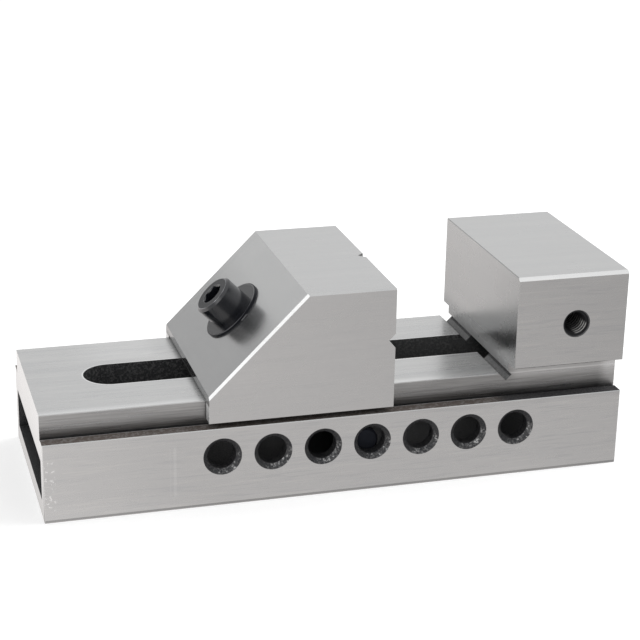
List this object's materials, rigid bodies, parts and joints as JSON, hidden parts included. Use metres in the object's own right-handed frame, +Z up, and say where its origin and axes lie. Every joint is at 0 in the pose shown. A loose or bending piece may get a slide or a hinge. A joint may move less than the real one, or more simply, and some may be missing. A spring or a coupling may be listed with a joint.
{
  "type": "toolmakers vise",
  "caption": "Low precision vise with a fixed jaw, a sliding jaw drawn down by an angled socket screw, a nut block and a cross pin that hooks under the rail.",
  "frame": {"origin": "middle of the base, on its underside", "axes": "+X along the rail towards the fixed jaw, +Y across the jaws, +Z up"},
  "size_m": [0.175, 0.063, 0.0624],
  "materials": {
    "ground_steel": "surface ground, lines along the rail",
    "black_steel": "black oxide, lightly oiled"
  },
  "bodies": {
    "vise_body": {"vise_body": "ground_steel"},
    "jaw": {"movable_jaw": "ground_steel", "flat_washer": "black_steel"},
    "screw": {"cap_screw": "black_steel"},
    "puller": {"draw_nut": "black_steel", "cross_pin": "black_steel"}
  },
  "joints": [
    {"name": "jaw_slide", "type": "slide", "parent": "vise_body", "child": "jaw", "axis": [1, 0, 0], "range_m": [-0.0474, 0.0375]},
    {"name": "screw_turn", "type": "hinge", "parent": "jaw", "child": "screw", "pos_m": [-0.0262, 0, 0.0477], "axis": [-0.7071, 0, 0.7071], "range_deg": [0, 664]},
    {"name": "nut_travel", "type": "slide", "parent": "jaw", "child": "puller", "axis": [0.7071, 0, -0.7071], "range_m": [0, 0.0023]}
  ],
  "couplings": [
    {"joint": "screw_turn", "follows": "nut_travel", "rad_per_m": 5026.5}
  ]
}
